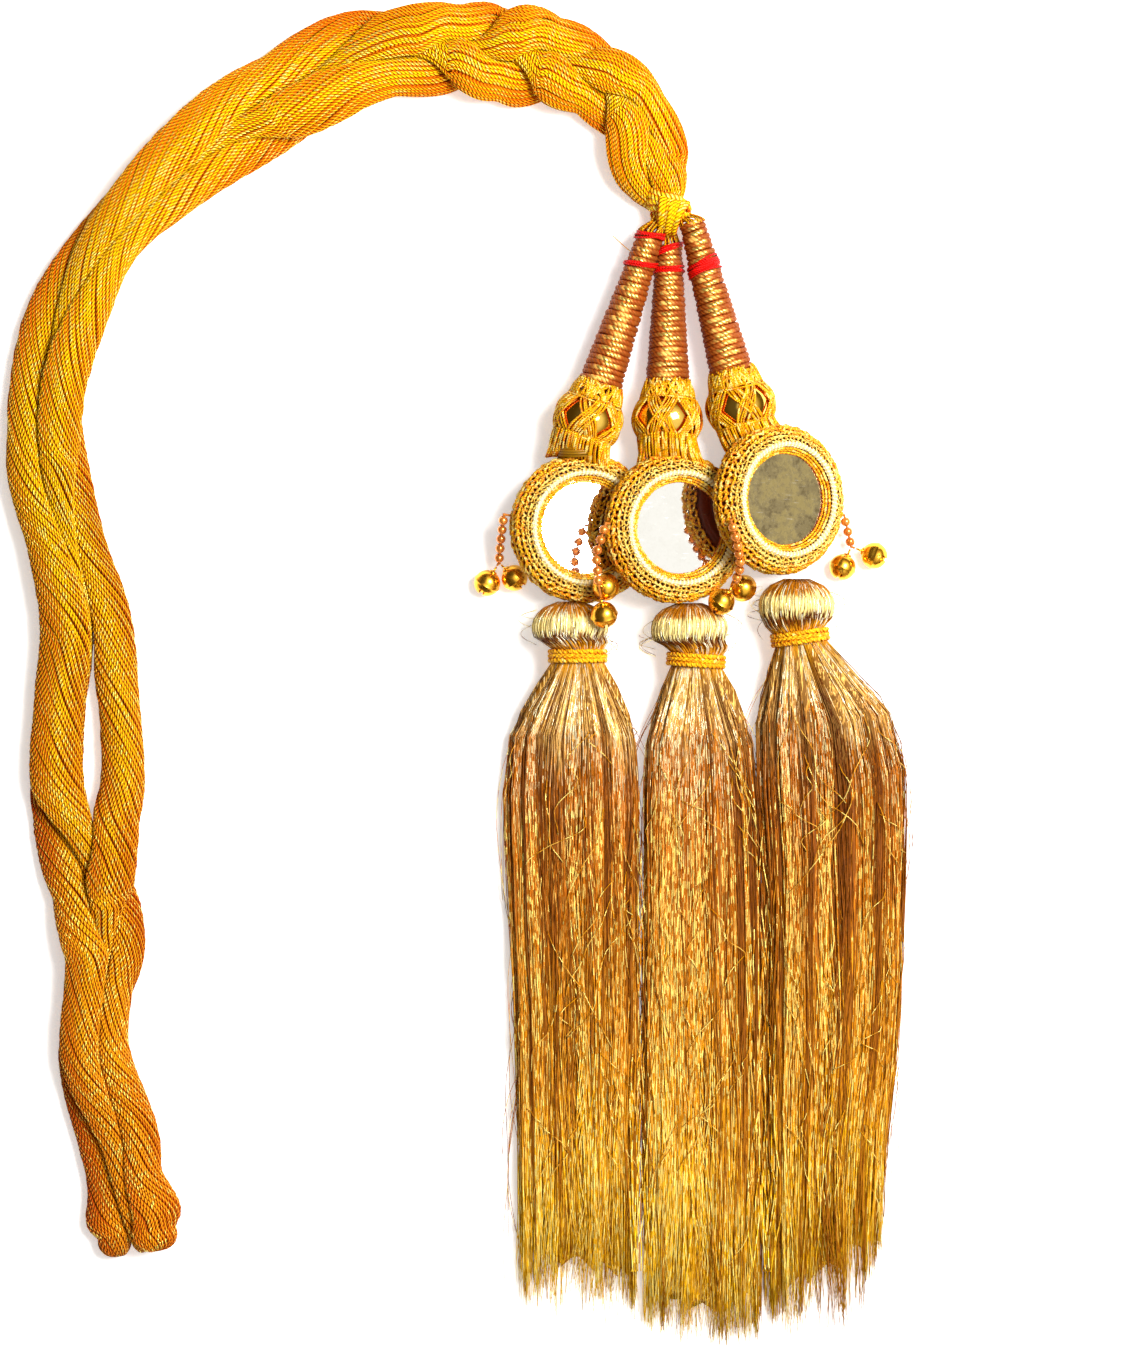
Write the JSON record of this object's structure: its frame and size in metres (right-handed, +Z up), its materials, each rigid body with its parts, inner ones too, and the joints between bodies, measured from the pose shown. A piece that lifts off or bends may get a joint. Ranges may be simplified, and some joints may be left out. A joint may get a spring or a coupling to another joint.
{
  "type": "paranda hair tassel",
  "caption": "Plaited yarn hank ending in wound stems with caged beads, mirror medallions, beaded bell drops and long tassels, lying flat in an arch.",
  "frame": {"origin": "on the surface that the paranda lies on, under the middle of its footprint", "axes": "+Y from the tassels' hems towards the top of the hank's arch, +X towards the right-hand pendant, +Z up from the surface"},
  "size_m": [0.2248, 0.3348, 0.0258],
  "materials": {
    "hank_yarn": "plied yellow and orange yarn with fine metallic flecks",
    "stem_winding": "closely wound gold and yellow metallic thread",
    "red_thread": "red silk thread, satin",
    "bead_gold": "polished gold-plated bead",
    "cage_thread": "yellow silk thread, satin",
    "crochet_rim": "orange-yellow crochet with gold metallic thread",
    "zari_thread": "pale gold metallic thread, wound",
    "mirror_glass": "small round mirror, slightly scratched",
    "drop_thread": "brown-orange thread",
    "drop_bead": "small glossy gold-orange beads",
    "bell_brass": "polished gold-coloured sheet metal",
    "tassel_zari": "fine gold metallic threads mixed with yellow silk",
    "tie_yarn": "orange-yellow yarn"
  },
  "bodies": {
    "root": {"hank_strand_1": "hank_yarn", "hank_strand_2": "hank_yarn", "hank_strand_3": "hank_yarn", "knot": "hank_yarn", "stem_left": "stem_winding", "stem_middle": "stem_winding", "stem_right": "stem_winding", "red_tie_left_end": "red_thread", "red_tie_left": "red_thread", "red_tie_middle_end": "red_thread", "red_tie_middle": "red_thread", "red_tie_right": "red_thread", "gold_bead_left": "bead_gold", "gold_bead_middle": "bead_gold", "gold_bead_right": "bead_gold", "bead_cage_left": "cage_thread", "bead_cage_middle": "cage_thread", "bead_cage_right": "cage_thread", "medallion_left": "crochet_rim", "medallion_middle": "crochet_rim", "medallion_right": "crochet_rim", "zari_ring_left": "zari_thread", "zari_ring_middle": "zari_thread", "zari_ring_right": "zari_thread", "mirror_left": "mirror_glass", "mirror_middle": "mirror_glass", "mirror_right": "mirror_glass", "drop_thread_left": "drop_thread", "drop_thread_middle": "drop_thread", "drop_thread_right_inner": "drop_thread", "drop_thread_right_outer": "drop_thread", "drop_beads_left": "drop_bead", "drop_beads_middle": "drop_bead", "drop_beads_right_inner": "drop_bead", "drop_beads_right_outer": "drop_bead", "bell_left_1": "bell_brass", "bell_left_2": "bell_brass", "bell_middle_1": "bell_brass", "bell_middle_2": "bell_brass", "bell_right_inner_1": "bell_brass", "bell_right_inner_2": "bell_brass", "bell_right_outer_1": "bell_brass", "bell_right_outer_2": "bell_brass", "tassel_left": "tassel_zari", "tassel_middle": "tassel_zari", "tassel_right": "tassel_zari", "neck_tie_left": "tie_yarn", "neck_tie_middle": "tie_yarn", "neck_tie_right": "tie_yarn"}
  },
  "joints": []
}
